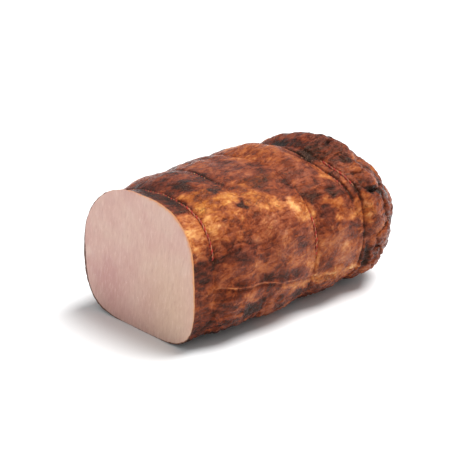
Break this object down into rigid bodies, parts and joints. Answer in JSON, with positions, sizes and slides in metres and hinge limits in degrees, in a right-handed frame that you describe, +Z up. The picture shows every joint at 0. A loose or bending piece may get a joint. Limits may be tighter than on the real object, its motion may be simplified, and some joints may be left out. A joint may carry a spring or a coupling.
{
  "type": "smoked pork loin",
  "caption": "Boneless smoked pork loin joint with a flat pale cut face at one end, a rounded far end and mottled brown smoked skin, tied round with butcher's twine.",
  "frame": {"origin": "under the middle of the part's box, on the surface it lies on", "axes": "+X runs along the loin from the cut face to the rounded end, +Y points to its back, +Z up"},
  "size_m": [0.18, 0.116, 0.0904],
  "materials": {
    "meat": "smoked skin with an oily sheen, and a matt pale pink cut face",
    "twine": "twisted red and white cotton stained brown by smoke"
  },
  "bodies": {
    "root": {"loin": "meat", "twine_loop_1": "twine", "twine_loop_2": "twine", "twine_loop_3": "twine", "twine_loop_4": "twine", "twine_loop_5": "twine"}
  },
  "joints": []
}
